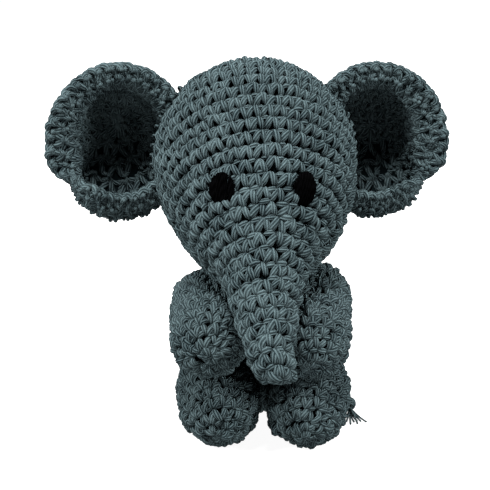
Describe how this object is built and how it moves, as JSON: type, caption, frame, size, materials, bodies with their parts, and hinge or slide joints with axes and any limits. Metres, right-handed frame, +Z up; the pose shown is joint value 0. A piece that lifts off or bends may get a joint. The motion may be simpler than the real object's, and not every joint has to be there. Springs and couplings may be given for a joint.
{
  "type": "crocheted stuffed elephant",
  "caption": "Seated crocheted toy elephant in slate-grey yarn, with a ball head that tapers into the trunk, cupped ears, stubby limbs and a tasselled tail.",
  "frame": {"origin": "centre of the flat patch under the body that the toy sits on", "axes": "+Z up, -Y the way the belly and legs face, +X the toy's own left side"},
  "size_m": [0.1868, 0.1707, 0.1669],
  "materials": {
    "grey_yarn": "matte crocheted cotton, slate grey with a slight teal cast",
    "sewing_yarn": "matte cotton yarn of the same slate grey",
    "black_yarn": "matte black embroidery yarn",
    "loose_plies": "unravelled cotton plies, matte",
    "fibre_fill": "white polyester fibre filling"
  },
  "bodies": {
    "torso": {"body_cover": "grey_yarn", "body_stuffing": "fibre_fill", "neck_seam": "sewing_yarn", "tail_knot": "grey_yarn", "right_arm_seam": "sewing_yarn", "left_arm_seam": "sewing_yarn", "right_leg_seam": "sewing_yarn", "left_leg_seam": "sewing_yarn"},
    "head": {"head_cover": "grey_yarn", "head_stuffing": "fibre_fill", "right_eye": "black_yarn", "left_eye": "black_yarn", "right_ear_seam": "sewing_yarn", "left_ear_seam": "sewing_yarn"},
    "right_ear": {"right_ear": "grey_yarn"},
    "left_ear": {"left_ear": "grey_yarn"},
    "tail": {"tail_cord": "grey_yarn", "tail_end_knot": "grey_yarn", "tail_tassel": "loose_plies"},
    "right_arm": {"right_arm_cover": "grey_yarn", "right_arm_stuffing": "fibre_fill"},
    "left_arm": {"left_arm_cover": "grey_yarn", "left_arm_stuffing": "fibre_fill"},
    "right_leg": {"right_leg_cover": "grey_yarn", "right_leg_stuffing": "fibre_fill"},
    "left_leg": {"left_leg_cover": "grey_yarn", "left_leg_stuffing": "fibre_fill"}
  },
  "joints": [
    {"name": "head_nod", "type": "hinge", "parent": "torso", "child": "head", "pos_m": [-0.003, -0.01, 0.1195], "axis": [-0.9969, -0.0785, 0], "range_deg": [0, 20], "stiffness_Nm_per_rad": 0.25},
    {"name": "right_ear_flap", "type": "hinge", "parent": "head", "child": "right_ear", "pos_m": [-0.04977, -0.00967, 0.1275], "axis": [0, 0, -1], "range_deg": [-15, 15], "stiffness_Nm_per_rad": 0.03},
    {"name": "left_ear_flap", "type": "hinge", "parent": "head", "child": "left_ear", "pos_m": [0.04314, -0.00236, 0.1275], "axis": [0, 0, 1], "range_deg": [-15, 15], "stiffness_Nm_per_rad": 0.03},
    {"name": "right_arm_swing", "type": "hinge", "parent": "torso", "child": "right_arm", "pos_m": [-0.025, -0.028, 0.055], "axis": [-0.4472, 0, -0.8944], "range_deg": [0, 45], "stiffness_Nm_per_rad": 0.06},
    {"name": "left_arm_swing", "type": "hinge", "parent": "torso", "child": "left_arm", "pos_m": [0.025, -0.028, 0.055], "axis": [-0.4472, 0, 0.8944], "range_deg": [0, 45], "stiffness_Nm_per_rad": 0.06},
    {"name": "right_leg_swing", "type": "hinge", "parent": "torso", "child": "right_leg", "pos_m": [-0.021, -0.036, 0.0184], "axis": [0, 0, -1], "range_deg": [0, 30], "stiffness_Nm_per_rad": 0.06},
    {"name": "left_leg_swing", "type": "hinge", "parent": "torso", "child": "left_leg", "pos_m": [0.022, -0.036, 0.0184], "axis": [0, 0, 1], "range_deg": [0, 30], "stiffness_Nm_per_rad": 0.06},
    {"name": "tail_swing", "type": "hinge", "parent": "torso", "child": "tail", "pos_m": [0, 0.042, 0.016], "axis": [0, 0, 1], "range_deg": [0, 40]}
  ]
}
